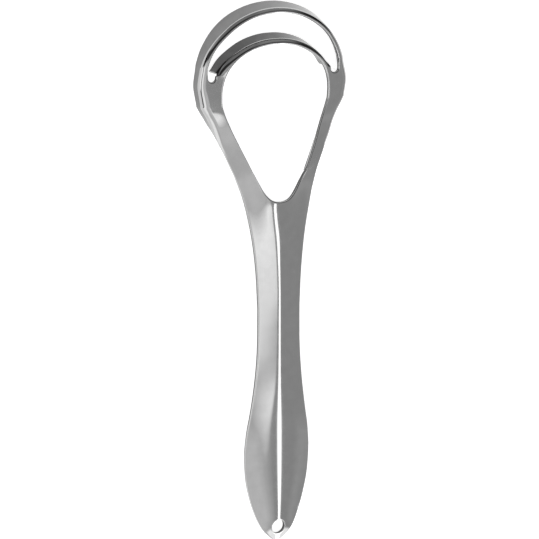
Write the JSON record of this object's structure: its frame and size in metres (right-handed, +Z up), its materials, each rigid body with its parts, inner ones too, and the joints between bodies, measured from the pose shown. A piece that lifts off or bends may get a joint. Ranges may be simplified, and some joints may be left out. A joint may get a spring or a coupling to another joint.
{
  "type": "tongue scraper",
  "caption": "Polished steel tongue scraper stamped from a single sheet: crowned leaf-shaped handle, open teardrop head and curved blades bent down at its rim.",
  "frame": {"origin": "middle of the box round the whole scraper, on the surface that it lies on", "axes": "+Y from the tail to the scraping end, +Z up from the side that the blades are bent towards, X across"},
  "size_m": [0.045, 0.15, 0.0059],
  "materials": {
    "steel": "polished stainless steel sheet"
  },
  "bodies": {
    "root": {"handle": "steel", "left_arm": "steel", "right_arm": "steel", "left_cheek": "steel", "right_cheek": "steel", "outer_blade": "steel", "inner_blade": "steel"}
  },
  "joints": []
}
